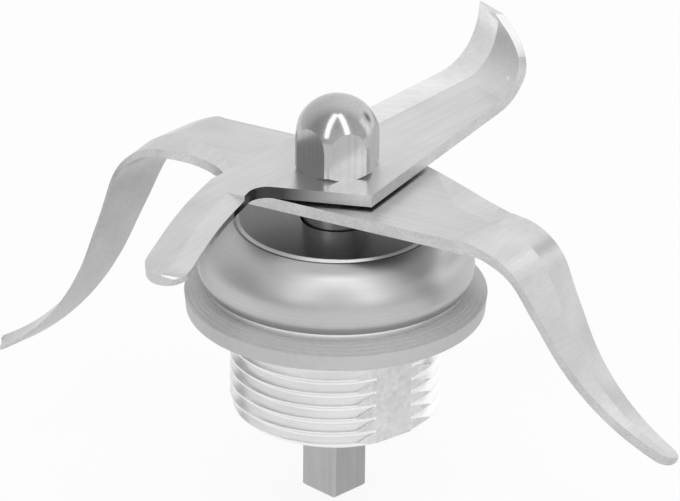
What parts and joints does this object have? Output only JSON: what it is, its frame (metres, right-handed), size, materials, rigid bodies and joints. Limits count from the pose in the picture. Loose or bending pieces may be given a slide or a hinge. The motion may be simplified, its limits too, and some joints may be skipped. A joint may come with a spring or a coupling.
{
  "type": "blender blade assembly",
  "caption": "Screw-in blender blade unit: crossed stainless blades under a domed nut on a sealed bearing spindle, with a bell cover, a silicone seal ring, a threaded bush and a square drive.",
  "frame": {"origin": "on the spindle axis, in the plane of the seal ring's underside, where the unit sits on the bowl floor", "axes": "+Z along the spindle towards the domed nut, -Y towards the picture's viewpoint"},
  "size_m": [0.116, 0.0869, 0.0733],
  "materials": {
    "blade_steel": "satin ground stainless",
    "cover_steel": "satin spun stainless",
    "nut_steel": "polished stainless",
    "spindle_steel": "ground steel",
    "hub_steel": "turned steel",
    "bush_aluminium": "bright turned",
    "seal_silicone": "matte silicone",
    "lip_rubber": "matte",
    "bearing_steel": "ground",
    "cage_nylon": "moulded",
    "plated_steel": "zinc plated",
    "spring_steel": "phosphated"
  },
  "bodies": {
    "housing": {"threaded_bush": "bush_aluminium", "bell_cover": "cover_steel", "seal_ring": "seal_silicone", "shaft_seal_case": "plated_steel", "shaft_seal_lip": "lip_rubber", "garter_spring": "spring_steel", "retaining_ring": "spring_steel", "upper_bearing_outer_ring": "bearing_steel", "upper_bearing_shields": "plated_steel", "lower_bearing_outer_ring": "bearing_steel", "lower_bearing_shields": "plated_steel"},
    "rotor": {"drive_shaft": "spindle_steel", "spacer_sleeve": "spindle_steel", "blade_hub": "hub_steel", "lower_blade": "blade_steel", "blade_shim": "hub_steel", "upper_blade": "blade_steel", "cap_nut": "nut_steel", "upper_bearing_inner_ring": "bearing_steel", "lower_bearing_inner_ring": "bearing_steel"},
    "upper_ball_set": {"upper_bearing_balls": "bearing_steel", "upper_bearing_cage": "cage_nylon"},
    "lower_ball_set": {"lower_bearing_balls": "bearing_steel", "lower_bearing_cage": "cage_nylon"}
  },
  "joints": [
    {"name": "shaft_spin", "type": "hinge", "parent": "housing", "child": "rotor", "pos_m": [0, 0, 0], "axis": [0, 0, 1], "continuous": true},
    {"name": "upper_balls_roll", "type": "hinge", "parent": "housing", "child": "upper_ball_set", "pos_m": [0, 0, 0.006], "axis": [0, 0, 1], "continuous": true},
    {"name": "lower_balls_roll", "type": "hinge", "parent": "housing", "child": "lower_ball_set", "pos_m": [0, 0, -0.0134], "axis": [0, 0, 1], "continuous": true}
  ],
  "couplings": [
    {"joint": "upper_balls_roll", "follows": "shaft_spin", "ratio": 0.368},
    {"joint": "lower_balls_roll", "follows": "shaft_spin", "ratio": 0.368}
  ]
}
